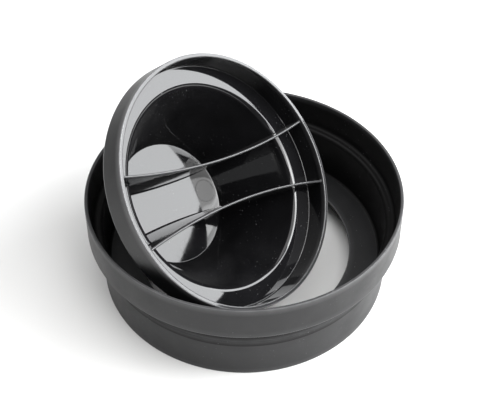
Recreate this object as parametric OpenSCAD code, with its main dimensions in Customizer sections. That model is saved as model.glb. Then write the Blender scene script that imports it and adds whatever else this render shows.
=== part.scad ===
// Stepped open-bottomed ring with a flanged cup lying tilted inside it.
// Millimetres. The origin is the middle of the ring's foot, on the table, and +Z is up.

/* [Ring] */
// Outside diameter of the ring at its rim
rim_diameter = 150; // [148:0.5:156]
// Height of the rim above the table
ring_height = 50.5; // [50:0.5:60]
// Height of the wide upper band
upper_band = 17.5; // [14:0.5:20]
// How much wider in radius the upper band is at its lower edge
band_flare = 0.9; // [0:0.1:1]
// Outside diameter of the lower band where it meets the upper one
waist_diameter = 140.2; // [139:0.2:141]
// Outside diameter of the lower band at the table
foot_diameter = 143.2; // [142:0.2:144]
// Height of the fine parting ledge on the lower band
ledge_height = 22.5; // [18:0.5:26]
// Wall thickness of the ring
ring_wall = 1.6; // [1.4:0.1:1.8]
// Height of the inner flange's top face above the table
flange_height = 10.2; // [7:0.1:11]
// Thickness of the inner flange
flange_thickness = 1.7; // [1.4:0.1:2]
// Diameter of the hole inside the flange
hole_diameter = 106.6; // [105:0.2:108]

/* [Cup] */
// Outside diameter of the cup's rim
cup_diameter = 121; // [119:0.5:122]
// Depth from the rim down to the shelf
shelf_depth = 11.6; // [10:0.1:13]
// Wall thickness of the rim
rim_wall = 2; // [1.8:0.1:2.2]
// Thickness of the shelf, the well and its floor
cup_wall = 1.7; // [1.5:0.1:1.9]
// Depth from the rim down to the floor of the well
well_depth = 52; // [48:0.5:52]
// Diameter of the floor of the well
floor_diameter = 62; // [56:1:64]
// Diameter of the well just under its lip
lip_diameter = 95; // [92:0.5:97]
// Diameter of the round mark in the floor of the well
mark_diameter = 12; // [8:0.5:13]

/* [Finger ribs] */
// Gap between the two ribs at their middle
rib_gap = 19.4; // [16:0.2:24]
// Thickness of each rib
rib_thickness = 1.1; // [0.9:0.1:1.4]
// Radius that each rib is curved to, seen from above
rib_bend = 270; // [200:5:400]
// How far the ribs' top edges lie below the rim
rib_drop = 1; // [0.5:0.1:3]

/* [Resting place] */
// Lean of the cup's axis from upright, in degrees
cup_lean = 47.4; // [46:0.1:49]
// Compass direction that the cup faces, in degrees from +X
cup_facing = -30.3; // [-40:0.1:-20]
// Sideways place of the middle of the cup's rim
cup_x = -4.4; // [-6:0.1:-3]
// Place of the middle of the cup's rim, from front to back
cup_y = -6.3; // [-8:0.1:-5]
// Turn of the ribs about the cup's own axis, in degrees
rib_turn = 67.9; // [0:0.1:90]

/* [Hidden] */
$fn = 96;
ring_colour = [0.2, 0.2, 0.21];
cup_colour = [0.09, 0.09, 0.1];

// Radii of the ring's outline
rim_r = rim_diameter / 2;
band_r = rim_r + band_flare;
waist_r = waist_diameter / 2;
foot_r = foot_diameter / 2;
hole_r = hole_diameter / 2;
edge_round = 0.5;
cove_round = 3;
ledge_step = 0.3;
ledge_top_step = 0.05;
inside_round = 1.5;
bowl_draft = 0.4;
band_z = ring_height - upper_band;
step_z = band_z + ring_wall;
bowl_r = rim_r - ring_wall;
bowl_low_r = bowl_r - bowl_draft;
sleeve_r = waist_r - ring_wall;
foot_in_r = foot_r - ring_wall;

// Radii and heights of the cup's outline: heights are below the rim
cup_r = cup_diameter / 2;
skirt_flare = 0.5;
skirt_r = cup_r + skirt_flare;
cup_in_r = cup_r - rim_wall;
floor_r = floor_diameter / 2;
lip_r = lip_diameter / 2;
lip_round = 2.5;
base_round = 1.5;
shelf_fall = 0.6;
lip_z = -shelf_depth - shelf_fall - lip_round;
base_z = -well_depth - cup_wall;
// The well's wall is a cone, and cone_tilt is its lean from upright
cone_tilt = atan((lip_r - floor_r) / (well_depth + lip_z));
lip_centre_r = lip_r + lip_round / cos(cone_tilt);
base_centre_z = base_z + base_round;
base_centre_r = floor_r + (base_centre_z + well_depth) * tan(cone_tilt)
    + (cup_wall - base_round) / cos(cone_tilt);
mark_place = 23.4;
mark_deep = 0.2;
// How far a cutting cylinder reaches past the solid it cuts
cut_past = 1;
// The cup stands on the lowest point of its rounded base corner
cup_z = base_centre_r * sin(cup_lean) - base_centre_z * cos(cup_lean) + base_round;

// Points of a round corner of radius r about [x, y], from angle a to angle b
function corner(x, y, r, a, b, steps = 6) =
    [for (i = [0 : steps]) let (t = a + (b - a) * i / steps) [x + r * cos(t), y + r * sin(t)]];

module ring_outline() {
    polygon(concat(
        corner(foot_r - edge_round, edge_round, edge_round, -90, 0),
        [[waist_r + ledge_step, ledge_height - ledge_step], [waist_r + ledge_top_step, ledge_height]],
        corner(waist_r + cove_round, band_z - cove_round, cove_round, 180, 90),
        corner(band_r - edge_round, band_z + edge_round, edge_round, -90, 0),
        corner(rim_r - edge_round, ring_height - edge_round, edge_round, 0, 90),
        corner(bowl_r + edge_round, ring_height - edge_round, edge_round, 90, 180),
        corner(bowl_low_r - inside_round, step_z + inside_round, inside_round, 0, -90),
        corner(sleeve_r + edge_round, step_z - edge_round, edge_round, 90, 180),
        corner(sleeve_r - inside_round, flange_height + inside_round, inside_round, 0, -90),
        corner(hole_r + edge_round, flange_height - edge_round, edge_round, 90, 180),
        corner(hole_r + edge_round, flange_height - flange_thickness + edge_round, edge_round,
            180, 270),
        corner(foot_in_r - inside_round, flange_height - flange_thickness - inside_round,
            inside_round, 90, 0),
        corner(foot_in_r + edge_round, edge_round, edge_round, 180, 270)
    ));
}

module cup_outline() {
    polygon(concat(
        [[0, base_z]],
        corner(base_centre_r, base_centre_z, base_round, -90, -cone_tilt),
        corner(lip_centre_r, lip_z, lip_round - cup_wall, 180 - cone_tilt, 90),
        corner(skirt_r - base_round, base_round - shelf_depth - cup_wall, base_round, -90, 0),
        corner(cup_r - edge_round, -edge_round, edge_round, 0, 90),
        corner(cup_in_r + edge_round, -edge_round, edge_round, 90, 180),
        corner(cup_in_r - edge_round, edge_round - shelf_depth, edge_round, 0, -90),
        corner(lip_centre_r, lip_z, lip_round, 90, 180 - cone_tilt),
        [[floor_r, -well_depth], [0, -well_depth]]
    ));
}

// Space inside the cup, reaching half a wall into the shell, that the ribs are trimmed to
module cup_space() {
    half = cup_wall / 2;
    rotate_extrude()
        polygon([
            [0, -rib_drop], [cup_in_r + half, -rib_drop],
            [cup_in_r + half, -shelf_depth - half], [lip_centre_r, lip_z + lip_round - half],
            [lip_r + half / cos(cone_tilt), lip_z], [floor_r + half, -well_depth],
            [floor_r, -well_depth - half], [0, -well_depth - half]
        ]);
}

// One curved plate, bowed towards the middle of the cup
module rib_plate() {
    plate_h = well_depth + cup_wall;
    translate([0, rib_gap / 2 + rib_bend, -plate_h])
        difference() {
            cylinder(h = plate_h, r = rib_bend);
            translate([0, 0, -cut_past])
                cylinder(h = plate_h + 2 * cut_past, r = rib_bend - rib_thickness);
        }
}

module cup_upright() {
    difference() {
        union() {
            rotate_extrude() cup_outline();
            for (side = [0, 180])
                intersection() {
                    rotate([0, 0, side]) rib_plate();
                    cup_space();
                }
        }
        translate([mark_place, 0, -well_depth - mark_deep])
            cylinder(h = mark_deep + cut_past, d = mark_diameter);
    }
}

module stepped_ring() {
    color(ring_colour) rotate_extrude() ring_outline();
}

module ribbed_cup() {
    color(cup_colour)
        translate([cup_x, cup_y, cup_z])
            rotate([0, cup_lean, cup_facing])
                rotate([0, 0, rib_turn])
                    cup_upright();
}

stepped_ring();
ribbed_cup();
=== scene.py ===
import bisect
import math

import bmesh
import bpy
from mathutils import Matrix, Vector


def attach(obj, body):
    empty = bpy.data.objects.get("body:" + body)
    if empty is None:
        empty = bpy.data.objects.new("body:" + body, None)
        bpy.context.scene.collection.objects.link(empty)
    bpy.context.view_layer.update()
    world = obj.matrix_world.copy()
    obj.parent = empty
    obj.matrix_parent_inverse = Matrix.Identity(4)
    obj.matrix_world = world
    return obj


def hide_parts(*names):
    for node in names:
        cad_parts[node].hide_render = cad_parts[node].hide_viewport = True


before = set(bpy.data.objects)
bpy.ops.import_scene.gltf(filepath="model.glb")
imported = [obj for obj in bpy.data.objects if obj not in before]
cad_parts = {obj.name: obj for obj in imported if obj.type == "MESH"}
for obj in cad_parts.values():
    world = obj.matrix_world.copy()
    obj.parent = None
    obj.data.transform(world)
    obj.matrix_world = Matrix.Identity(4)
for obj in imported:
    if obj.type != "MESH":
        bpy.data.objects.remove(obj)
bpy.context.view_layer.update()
scene = bpy.context.scene
MM = 0.001
TURNS = 288  # steps around each turned outline

# ---------------------------------------------------------------- sizes, in millimetres
RIM_R, BAND_R, WAIST_R, FOOT_R, HOLE_R = 75.0, 75.87, 70.1, 71.6, 53.3
RING_H, BAND_Z, STEP_Z, LEDGE_Z = 50.5, 33.0, 34.6, 22.5
FLANGE_Z, FLANGE_T, RING_WALL = 10.2, 1.7, 1.6
CUP_R, CUP_IN_R, SKIRT_R = 60.49, 58.5, 60.99
SHELF, WELL, CUP_WALL = 11.6, 52.0, 1.7
FLOOR_R, LIP_R, LIP_ROUND, BASE_ROUND = 31.0, 47.5, 2.5, 1.5
MARK_X, MARK_R = 23.4, 6.0
RIB_GAP, RIB_T, RIB_BEND, RIB_TOP = 19.4, 1.1, 270.0, -1.0
EDGE = 0.5  # small roundings of the free edges
COVE_ROUND, INSIDE_ROUND = 3, 1.5
LEDGE_STEP, LEDGE_ROUND = 0.3, 0.12
BOWL_DRAFT, SHELF_FALL = 0.4, 0.6
BAND_EDGE, SOFT = 1.1, 2.1  # roundings of the upper band's lower edge and of the step inside it

LIP_Z = -SHELF - SHELF_FALL - LIP_ROUND
TILT = math.atan((LIP_R - FLOOR_R) / (WELL + LIP_Z))
LIP_CR = LIP_R + LIP_ROUND / math.cos(TILT)
BASE_Z = -WELL - CUP_WALL
BASE_CZ = BASE_Z + BASE_ROUND
BASE_CR = FLOOR_R + (BASE_CZ + WELL) * math.tan(TILT) + (CUP_WALL - BASE_ROUND) / math.cos(TILT)
CUP_LEAN, CUP_FACING, RIB_TURN = math.radians(47.4), math.radians(-30.3), math.radians(67.9)
# The cup stands on the lowest point of its rounded base corner
CUP_Z = BASE_CR * math.sin(CUP_LEAN) - BASE_CZ * math.cos(CUP_LEAN) + BASE_ROUND
CUP_AT = Vector((-4.4, -6.3, CUP_Z))
CUP_PLACE = (
    Matrix.Translation(CUP_AT)
    @ Matrix.Rotation(CUP_FACING, 4, "Z")
    @ Matrix.Rotation(CUP_LEAN, 4, "Y")
    @ Matrix.Rotation(RIB_TURN, 4, "Z")
)


# ---------------------------------------------------------------- outlines
def arc(x, y, r, a, b, steps=7):
    """Points of a round corner about (x, y), from angle a to angle b in degrees."""
    turns = [math.radians(a + (b - a) * i / steps) for i in range(steps + 1)]
    return [(x + r * math.cos(t), y + r * math.sin(t)) for t in turns]


def refine(points, near=0.12, longest=3.0):
    """Adds points just inside the ends of each straight run, and along it."""
    out = [points[0]]
    for p, q in zip(points, points[1:]):
        run = math.dist(p, q)
        if run > 0.8:
            inner = run - 2 * near
            count = max(1, math.ceil(inner / longest))
            for i in range(count + 1):
                s = (near + inner * i / count) / run
                out.append((p[0] + (q[0] - p[0]) * s, p[1] + (q[1] - p[1]) * s))
        if run > 1e-6:
            out.append(q)
    return out


sleeve_r = WAIST_R - RING_WALL
foot_in_r = FOOT_R - RING_WALL
bowl_r = RIM_R - RING_WALL
bowl_low_r = bowl_r - BOWL_DRAFT
under_z = FLANGE_Z - FLANGE_T
RING_OUTSIDE = (
    arc(FOOT_R - EDGE, EDGE, EDGE, -90, 0)
    + arc(WAIST_R + LEDGE_STEP - LEDGE_ROUND, LEDGE_Z - LEDGE_ROUND, LEDGE_ROUND, 0, 90, 3)
    + arc(WAIST_R + COVE_ROUND, BAND_Z - COVE_ROUND, COVE_ROUND, 180, 90, 12)
    + arc(BAND_R - BAND_EDGE, BAND_Z + BAND_EDGE, BAND_EDGE, -90, 0, 10)
    + arc(RIM_R - EDGE, RING_H - EDGE, EDGE, 0, 90)
)
RING_INSIDE = (
    arc(bowl_r + EDGE, RING_H - EDGE, EDGE, 90, 180)
    + arc(bowl_low_r - SOFT, STEP_Z + SOFT, SOFT, 0, -90, 12)
    + arc(sleeve_r + SOFT, STEP_Z - SOFT, SOFT, 90, 180, 12)
    + arc(sleeve_r - INSIDE_ROUND, FLANGE_Z + INSIDE_ROUND, INSIDE_ROUND, 0, -90, 8)
    + arc(HOLE_R + EDGE, FLANGE_Z - EDGE, EDGE, 90, 180)
    + arc(HOLE_R + EDGE, under_z + EDGE, EDGE, 180, 270)
    + arc(foot_in_r - INSIDE_ROUND, under_z - INSIDE_ROUND, INSIDE_ROUND, 90, 0, 8)
    + arc(foot_in_r + EDGE, EDGE, EDGE, 180, 270)
)
tilt_deg = math.degrees(TILT)
CUP_OUTSIDE = (
    [(0.0, BASE_Z)]
    + arc(BASE_CR, BASE_CZ, BASE_ROUND, -90, -tilt_deg)
    + arc(LIP_CR, LIP_Z, LIP_ROUND - CUP_WALL, 180 - tilt_deg, 90)
    + arc(SKIRT_R - BASE_ROUND, BASE_ROUND - SHELF - CUP_WALL, BASE_ROUND, -90, 0)
    + arc(CUP_R - EDGE, -EDGE, EDGE, 0, 90)
)
# The inside of the lip is rounder than the outside, and meets the same shelf and the same cone
LIP_IN_ROUND = 3.2
LIP_IN_Z = -SHELF - SHELF_FALL - LIP_IN_ROUND
LIP_IN_CR = LIP_R + (LIP_IN_Z - LIP_Z) * math.tan(TILT) + LIP_IN_ROUND / math.cos(TILT)
FLOOR_FILLET = 0.7
fillet_run = FLOOR_FILLET * math.tan((math.pi / 2 - TILT) / 2)
# The inside of the cup from its rim to its floor, where the ribs meet it
CUP_INSIDE = (
    arc(CUP_IN_R + EDGE, -EDGE, EDGE, 90, 180)
    + arc(CUP_IN_R - EDGE, EDGE - SHELF, EDGE, 0, -90)
    + arc(LIP_IN_CR, LIP_IN_Z, LIP_IN_ROUND, 90, 180 - tilt_deg, 16)
    + arc(FLOOR_R - fillet_run, FLOOR_FILLET - WELL, FLOOR_FILLET, -tilt_deg, -90, 6)
)


# ---------------------------------------------------------------- mesh building
def lathe(bm, profile, closed):
    """Turns a profile about Z. Returns the ring of vertices at its last point."""
    rings = []
    for r, z in profile:
        if r < 1e-6:
            rings.append([bm.verts.new((0, 0, z))])
        else:
            turn = [2 * math.pi * i / TURNS for i in range(TURNS)]
            rings.append([bm.verts.new((r * math.cos(t), r * math.sin(t), z)) for t in turn])
    pairs = list(zip(rings, rings[1:]))
    if closed:
        pairs.append((rings[-1], rings[0]))
    for a, b in pairs:
        for i in range(TURNS):
            j = (i + 1) % TURNS
            if len(a) == 1:
                bm.faces.new((a[0], b[j], b[i]))
            else:
                bm.faces.new((a[i], a[j], b[j], b[i]))
    return rings[-1]


def loop_edges(bm, verts):
    """The edges around a loop of vertices, made where they are missing."""
    edges = []
    for a, b in zip(verts, verts[1:] + verts[:1]):
        edge = bm.edges.get((a, b))
        edges.append(edge or bm.edges.new((a, b)))
    return edges


def well_floor(bm, rim):
    """Flat floor inside the rim, with a shallow round ejector mark let into it."""
    steps = 96
    turn = [2 * math.pi * i / steps for i in range(steps)]
    rings = []
    # The mark is a fine groove: distance in from its edge, and height
    for inset, drop in ((0, 0), (0.06, -0.06), (0.2, -0.07), (0.26, -0.01), (2, -0.01)):
        r, z = MARK_R - inset, -WELL + drop
        rings.append([bm.verts.new((MARK_X + r * math.cos(t), r * math.sin(t), z)) for t in turn])
    for a, b in zip(rings, rings[1:]):
        for i in range(steps):
            j = (i + 1) % steps
            bm.faces.new((a[i], a[j], b[j], b[i]))
    bm.faces.new(rings[-1])
    bmesh.ops.triangle_fill(bm, use_beauty=True, edges=loop_edges(bm, rim) + loop_edges(bm, rings[0]))


def surface_z(q):
    """Height of the cup's inside at radius q."""
    if q >= CUP_IN_R - EDGE:
        return -SHELF
    i = bisect.bisect_right(SURF_Q, q)
    if i == 0:
        return -WELL
    (q0, z0), (q1, z1) = SURF[i - 1], SURF[min(i, len(SURF) - 1)]
    return z0 if q1 == q0 else z0 + (z1 - z0) * (q - q0) / (q1 - q0)


def surface_gap(q, z):
    """Distance from (q, z) to the cup's inside."""
    if q >= CUP_IN_R:
        return 0.0
    best = 1e9
    for (q0, z0), (q1, z1) in zip(CUP_INSIDE, CUP_INSIDE[1:] + [(0.0, -WELL)]):
        dq, dz = q1 - q0, z1 - z0
        size = dq * dq + dz * dz
        s = max(0.0, min(1.0, ((q - q0) * dq + (z - z0) * dz) / size)) if size else 0.0
        best = min(best, math.hypot(q - q0 - s * dq, z - z0 - s * dz))
    return best


SURF = sorted((p for p in CUP_INSIDE if p[0] <= CUP_IN_R - EDGE), key=lambda p: p[0])
SURF_Q = [p[0] for p in SURF]
FOOT_FILLET = 0.55


def rib(bm, turn):
    """One curved finger rib with a rounded top and filleted foot, sunk a little into the shell."""
    def near(x):
        return RIB_GAP / 2 + RIB_BEND - math.sqrt(RIB_BEND ** 2 - x * x)

    def far(x):
        return RIB_GAP / 2 + RIB_BEND - math.sqrt((RIB_BEND - RIB_T) ** 2 - x * x)

    end = CUP_IN_R
    for _ in range(6):
        end = math.sqrt((CUP_IN_R + 0.6) ** 2 - ((near(end) + far(end)) / 2) ** 2)
    half = [end - 0.12 * i for i in range(16)]
    while half[-1] > 0.45:
        half.append(half[-1] - 0.5)
    stations = [-x for x in half] + half[::-1]
    spin = Matrix.Rotation(turn, 4, "Z")
    columns = []
    for x in stations:
        y0, y1 = near(x), far(x)
        mid, wide = (y0 + y1) / 2, (y1 - y0) / 2
        q = math.hypot(x, mid)
        base = surface_z(q)
        slope = (surface_z(q + 0.1) - surface_z(q - 0.1)) / 0.2 if q < CUP_IN_R - EDGE else 0.0
        steep = min(math.hypot(1, slope), 2.5)
        top = RIB_TOP - wide
        rows = [base + d * steep for d in (-0.4, 0, 0.06, 0.14, 0.24, 0.36, 0.55, 0.8)]
        rows += [rows[-1] + (top - rows[-1]) * i / 9 for i in range(1, 10)]
        flares = []
        for z in rows:
            gap = surface_gap(q, z) if z > base else 0.0
            s = max(0.0, 1 - gap / FOOT_FILLET)
            flares.append(FOOT_FILLET * (1 - math.sqrt(1 - s * s)))
        side = [(mid - wide - f, z) for f, z in zip(flares, rows)]
        crown = [
            (mid - (wide + flares[-1]) * math.cos(t), top + wide * math.sin(t))
            for t in (math.pi * i / 8 for i in range(1, 8))
        ]
        back = [(mid + wide + f, z) for f, z in zip(flares[::-1], rows[::-1])]
        columns.append([bm.verts.new(spin @ Vector((x, y, z))) for y, z in side + crown + back])
    for a, b in zip(columns, columns[1:]):
        for i in range(len(a)):
            j = (i + 1) % len(a)
            bm.faces.new((a[i], a[j], b[j], b[i]))
    bm.faces.new(columns[0])
    bm.faces.new(columns[-1][::-1])


def wear_and_highlight_at(q, z, edges):
    """How much the point (q, z) of an outline is lightened, for wear and as a painted edge highlight:
    1 on one of the edges, 0 away from them.
    """
    best = max(1 - math.hypot(q - a, z - b) / width for a, b, width in edges)
    return max(0.0, min(1.0, best * 1.6))


def piece(name, bm, place, materials, material_of, wear_and_highlight_of, body, node):
    """Puts a mesh drawn in millimetres in its place, on its body, instead of its CAD node."""
    for f in bm.faces:
        f.material_index = material_of(f.calc_center_median(), f)
    # Per-point edge lightening, for wear and as painted highlight
    wear_and_highlight = [wear_and_highlight_of(v) for v in bm.verts]
    bmesh.ops.recalc_face_normals(bm, faces=bm.faces)
    bmesh.ops.transform(bm, matrix=Matrix.Scale(MM, 4) @ place, verts=bm.verts)
    mesh = bpy.data.meshes.new(name)
    bm.to_mesh(mesh)
    bm.free()
    mesh.attributes.new("edge_wear_and_highlight", "FLOAT", "POINT").data.foreach_set("value", wear_and_highlight)
    for m in materials:
        mesh.materials.append(m)
    mesh.shade_smooth()
    mesh.set_sharp_from_angle(angle=math.radians(38))
    obj = bpy.data.objects.new(name, mesh)
    scene.collection.objects.link(obj)
    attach(obj, body)
    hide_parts(node)
    return obj


# ---------------------------------------------------------------- materials
PLASTIC_IOR = 1.49
WAVE = 0.00002  # height in metres of the slow waviness of the mouldings


def plastic(name, colour, tint, rough, spread, grain, grain_size, haze=0.0, edge_tone=0.3,
            specular=0.5):
    """Moulded plastic. grain is a bump height in metres, and haze is a faint bloom."""
    mat = bpy.data.materials.new(name)
    mat.use_nodes = True
    nodes, links = mat.node_tree.nodes, mat.node_tree.links
    shader = nodes["Principled BSDF"]
    shader.inputs["IOR"].default_value = PLASTIC_IOR
    shader.inputs["Specular IOR Level"].default_value = specular
    place = nodes.new("ShaderNodeTexCoord").outputs["Object"]

    def noise(scale, detail, rough_=0.5, distort=0.0, vector=place):
        n = nodes.new("ShaderNodeTexNoise")
        n.inputs["Scale"].default_value = scale
        n.inputs["Detail"].default_value = detail
        n.inputs["Roughness"].default_value = rough_
        n.inputs["Distortion"].default_value = distort
        links.new(vector, n.inputs["Vector"])
        return n.outputs["Fac"]

    def remap(value, a, b, c, d):
        n = nodes.new("ShaderNodeMapRange")
        for key, v in (("From Min", a), ("From Max", b), ("To Min", c), ("To Max", d)):
            n.inputs[key].default_value = v
        links.new(value, n.inputs["Value"])
        return n.outputs["Result"]

    def math_node(kind, a, b):
        n = nodes.new("ShaderNodeMath")
        n.operation = kind
        for socket, v in zip(n.inputs, (a, b)):
            if isinstance(v, (int, float)):
                socket.default_value = v
            else:
                links.new(v, socket)
        return n.outputs[0]

    def mix_colour(factor, a, b):
        n = nodes.new("ShaderNodeMix")
        n.data_type = "RGBA"
        links.new(factor, n.inputs["Factor"])
        for socket, v in ((n.inputs["A"], a), (n.inputs["B"], b)):
            if isinstance(v, tuple):
                socket.default_value = (*v, 1)
            else:
                links.new(v, socket)
        return n.outputs["Result"]

    # Slow tone changes, as of flow in the mould
    clouds = noise(38, 4, 0.55, 0.4)
    tone = mix_colour(remap(clouds, 0.35, 0.65, 0, 1), colour, tint)
    # Dust and lint specks
    specks = remap(noise(1100, 1, 0.4), 0.73, 0.78, 0, 1)
    patches = remap(noise(60, 2), 0.45, 0.65, 0, 1)
    dust = math_node("MULTIPLY", specks, patches)
    tone = mix_colour(math_node("MULTIPLY", dust, 0.35), tone, (0.35, 0.35, 0.36))
    # Handling wear on the raised edges, plus painted highlight: the edges are mixed towards grey to
    # stand in for the thin bright lines light draws along them
    edge = nodes.new("ShaderNodeAttribute")
    edge.attribute_name = "edge_wear_and_highlight"
    wear_and_highlight = math_node("MULTIPLY", edge.outputs["Fac"], remap(noise(220, 3), 0.35, 0.65, 0.8, 1))
    tone = mix_colour(math_node("MULTIPLY", wear_and_highlight, edge_tone), tone, (0.17, 0.17, 0.175))
    links.new(tone, shader.inputs["Base Color"])
    # Fine hairline scratches, in two directions
    scratches = []
    for turn, stretch in ((0.4, (2600, 40, 70)), (-0.9, (60, 2300, 50))):
        m = nodes.new("ShaderNodeMapping")
        m.inputs["Rotation"].default_value = (0.3, turn, turn)
        m.inputs["Scale"].default_value = stretch
        links.new(place, m.inputs["Vector"])
        scratches.append(remap(noise(1, 2, 0.5, 0.0, m.outputs["Vector"]), 0.7, 0.74, 0, 1))
    scratch = math_node("MULTIPLY", math_node("MAXIMUM", *scratches), patches)
    roughness = remap(noise(90, 5, 0.6, 0.3), 0.3, 0.7, rough - spread, rough + spread)
    roughness = math_node("ADD", roughness, math_node("MULTIPLY", scratch, 0.12))
    roughness = math_node("ADD", roughness, math_node("MULTIPLY", dust, 0.2))
    links.new(roughness, shader.inputs["Roughness"])
    if haze:
        bloom = remap(noise(24, 5, 0.6, 0.6), 0.35, 0.75, 0.0, haze)
        links.new(bloom, shader.inputs["Sheen Weight"])
        shader.inputs["Sheen Roughness"].default_value = 0.6
    # Bump: slow waviness of the moulding, then the grain of the mould's surface
    bump = None
    for value, height in ((noise(75, 2, 0.4), WAVE), (noise(grain_size, 3, 0.6), grain)):
        n = nodes.new("ShaderNodeBump")
        n.inputs["Strength"].default_value = 1
        n.inputs["Distance"].default_value = height
        links.new(value, n.inputs["Height"])
        if bump:
            links.new(bump, n.inputs["Normal"])
        bump = n.outputs["Normal"]
    links.new(bump, shader.inputs["Normal"])
    return mat


satin = plastic("satin_charcoal_plastic", (0.0078, 0.0078, 0.0086), (0.0108, 0.0108, 0.0118),
                0.44, 0.05, 0.000012, 1500, edge_tone=0.4, specular=0.36)
# The same satin plastic, made darker and less shiny for the ring's inside walls: painted shade
ring_inner_shaded = plastic("ring_inner_shaded_plastic", (0.0035, 0.0034, 0.0036), (0.0050, 0.0048, 0.0050),
                     0.45, 0.05, 0.000004, 1500, specular=0.13)
cup_outer = plastic("satin_black_plastic", (0.0068, 0.0068, 0.0075), (0.0095, 0.0095, 0.0105),
                    0.38, 0.05, 0.00001, 1500, edge_tone=0.7)
gloss = plastic("polished_black_plastic", (0.004, 0.004, 0.0044), (0.006, 0.006, 0.0068),
                0.045, 0.02, 0.0000005, 1300, haze=0.03)

# ---------------------------------------------------------------- ring
bm = bmesh.new()
ring_profile = refine(RING_OUTSIDE + RING_INSIDE + [RING_OUTSIDE[0]])[:-1]
lathe(bm, ring_profile, closed=True)


def ring_material(c, f):
    """1 on the inside walls, which take a darker, less shiny copy of the satin as painted shade; 0 on
    the satin outside and on the top of the flange.
    """
    inside_r = RIM_R - EDGE if c.z > BAND_Z + 1 else foot_in_r + EDGE
    if c.z <= EDGE or FLANGE_Z - EDGE < c.z < FLANGE_Z + 0.05:
        return 0
    return int(math.hypot(c.x, c.y) < inside_r)


# Edges lightened for wear and as painted highlights: the upper band's lower edge, the outer and inner
# rim, the ledge line, the foot and the hole's edge
def ring_wear_and_highlight(v):
    return wear_and_highlight_at(math.hypot(v.co.x, v.co.y), v.co.z, (
        (BAND_R - 0.35, BAND_Z + 0.35, 1.1),
        (RIM_R - 0.15, RING_H - 0.15, 0.9),
        (bowl_r + 0.15, RING_H - 0.15, 0.8),
        (WAIST_R + LEDGE_STEP, LEDGE_Z, 0.5),
        (FOOT_R - 0.15, 0.15, 0.7),
        (HOLE_R + 0.15, FLANGE_Z - 0.15, 0.6),
    ))


piece("ring_moulding", bm, Matrix.Identity(4), [satin, ring_inner_shaded], ring_material, ring_wear_and_highlight,
      "ring", "stepped_ring")

# ---------------------------------------------------------------- cup
bm = bmesh.new()
floor_ring = lathe(bm, refine(CUP_OUTSIDE + CUP_INSIDE), closed=False)
well_floor(bm, floor_ring)
shell = set(bm.faces)
for turn in (0.0, math.pi):
    rib(bm, turn)


def cup_material(c, f):
    """1 on the polished inside and the ribs, 0 on the satin outside."""
    q = math.hypot(c.x, c.y)
    if f not in shell:
        return 1
    if c.z > -SHELF - 0.3:
        return int(q < CUP_R - EDGE)
    return int(c.z > surface_z(q) - 0.5)


# Edges lightened for wear and as painted highlights: the whole top of each rib, the rim's outer and
# inner edges and the skirt's lower edge
def cup_wear_and_highlight(v):
    q = math.hypot(v.co.x, v.co.y)
    if RIB_TOP - 0.8 < v.co.z < RIB_TOP + 0.05 and q < CUP_IN_R:
        return 1.0
    return wear_and_highlight_at(q, v.co.z, ((CUP_R - 0.15, -0.15, 0.9), (CUP_IN_R + 0.15, -0.15, 0.8),
                            (SKIRT_R - 0.4, 0.4 - SHELF - CUP_WALL, 1.0)))


piece("cup_moulding", bm, CUP_PLACE, [cup_outer, gloss], cup_material, cup_wear_and_highlight,
      "cup", "ribbed_cup")


# ---------------------------------------------------------------- stage
def table():
    """Plain pale floor."""
    mesh = bpy.data.meshes.new("table")
    s = 3.0
    mesh.from_pydata([(-s, -s, 0), (s, -s, 0), (s, s, 0), (-s, s, 0)], [], [(0, 1, 2, 3)])
    obj = bpy.data.objects.new("table", mesh)
    scene.collection.objects.link(obj)
    mat = bpy.data.materials.new("pale_table")
    mat.use_nodes = True
    shader = mat.node_tree.nodes["Principled BSDF"]
    shader.inputs["Base Color"].default_value = (0.72, 0.72, 0.715, 1)
    shader.inputs["Roughness"].default_value = 0.7
    shader.inputs["Specular IOR Level"].default_value = 0.2
    mesh.materials.append(mat)


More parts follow.
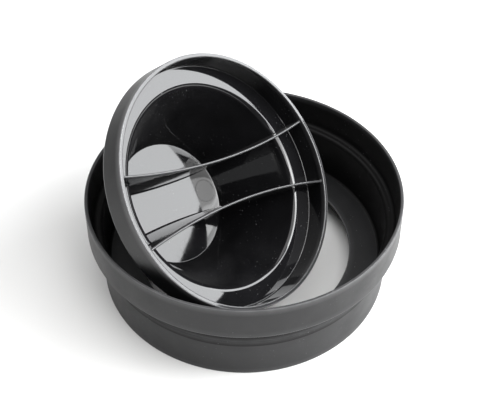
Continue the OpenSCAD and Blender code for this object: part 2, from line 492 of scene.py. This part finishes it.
def softbox(name, azimuth, elevation, distance, width, height, radiance, colour=(1, 1, 1)):
    """Rectangular light that faces the middle of the object, of the given radiance."""
    a, e = math.radians(azimuth), math.radians(elevation)
    way = Vector((math.cos(a) * math.cos(e), math.sin(a) * math.cos(e), math.sin(e)))
    light = bpy.data.lights.new(name, "AREA")
    light.shape = "RECTANGLE"
    light.size, light.size_y = width, height
    light.energy = radiance * math.pi * width * height
    light.color = colour
    obj = bpy.data.objects.new(name, light)
    obj.location = Vector((0, 0, 0.04)) + way * distance
    obj.rotation_euler = way.to_track_quat("Z", "Y").to_matrix().to_euler()
    scene.collection.objects.link(obj)


table()
softbox("key_right", 16, 30.5, 1.0, 0.8, 0.5, 11.5, colour=(0.97, 0.985, 1))
softbox("key_front", -38, 43, 1.0, 0.8, 0.45, 7.0)
softbox("fill_left", 165, 47, 1.2, 1.5, 0.6, 1.6)
softbox("overhead", 0, 88, 1.0, 1.2, 1.1, 2.4)
# A small lamp straight over the floor to the right
floor_lamp = bpy.data.lights.new("floor_right", "AREA")
floor_lamp.size = 0.3
floor_lamp.energy = 3.5
floor_seat = bpy.data.objects.new("floor_right", floor_lamp)
floor_seat.location = (0.42, -0.06, 0.45)
scene.collection.objects.link(floor_seat)
world = bpy.data.worlds.new("studio")
world.use_nodes = True
world.node_tree.nodes["Background"].inputs["Color"].default_value = (1, 1, 1, 1)
world.node_tree.nodes["Background"].inputs["Strength"].default_value = 0.12
scene.world = world
scene.view_settings.view_transform = "Standard"

# ---------------------------------------------------------------- camera
camera = bpy.data.cameras.new("camera")
camera.sensor_fit = "HORIZONTAL"
camera.sensor_width = 36
camera.lens = 54.766
camera.clip_end = 20
seat = bpy.data.objects.new("camera", camera)
# Three-quarter view from above the front: the camera's own axes, then its place in metres
right = Vector((0.99998, 0.00431, 0.00425))
up = Vector((-0.00605, 0.71222, 0.70193))
back = Vector((0, -0.70194, 0.71223))
seat.matrix_world = Matrix((
    (right.x, up.x, back.x, 0.00272),
    (right.y, up.y, back.y, -0.26079),
    (right.z, up.z, back.z, 0.29887),
    (0, 0, 0, 1),
))
scene.collection.objects.link(seat)
scene.camera = seat
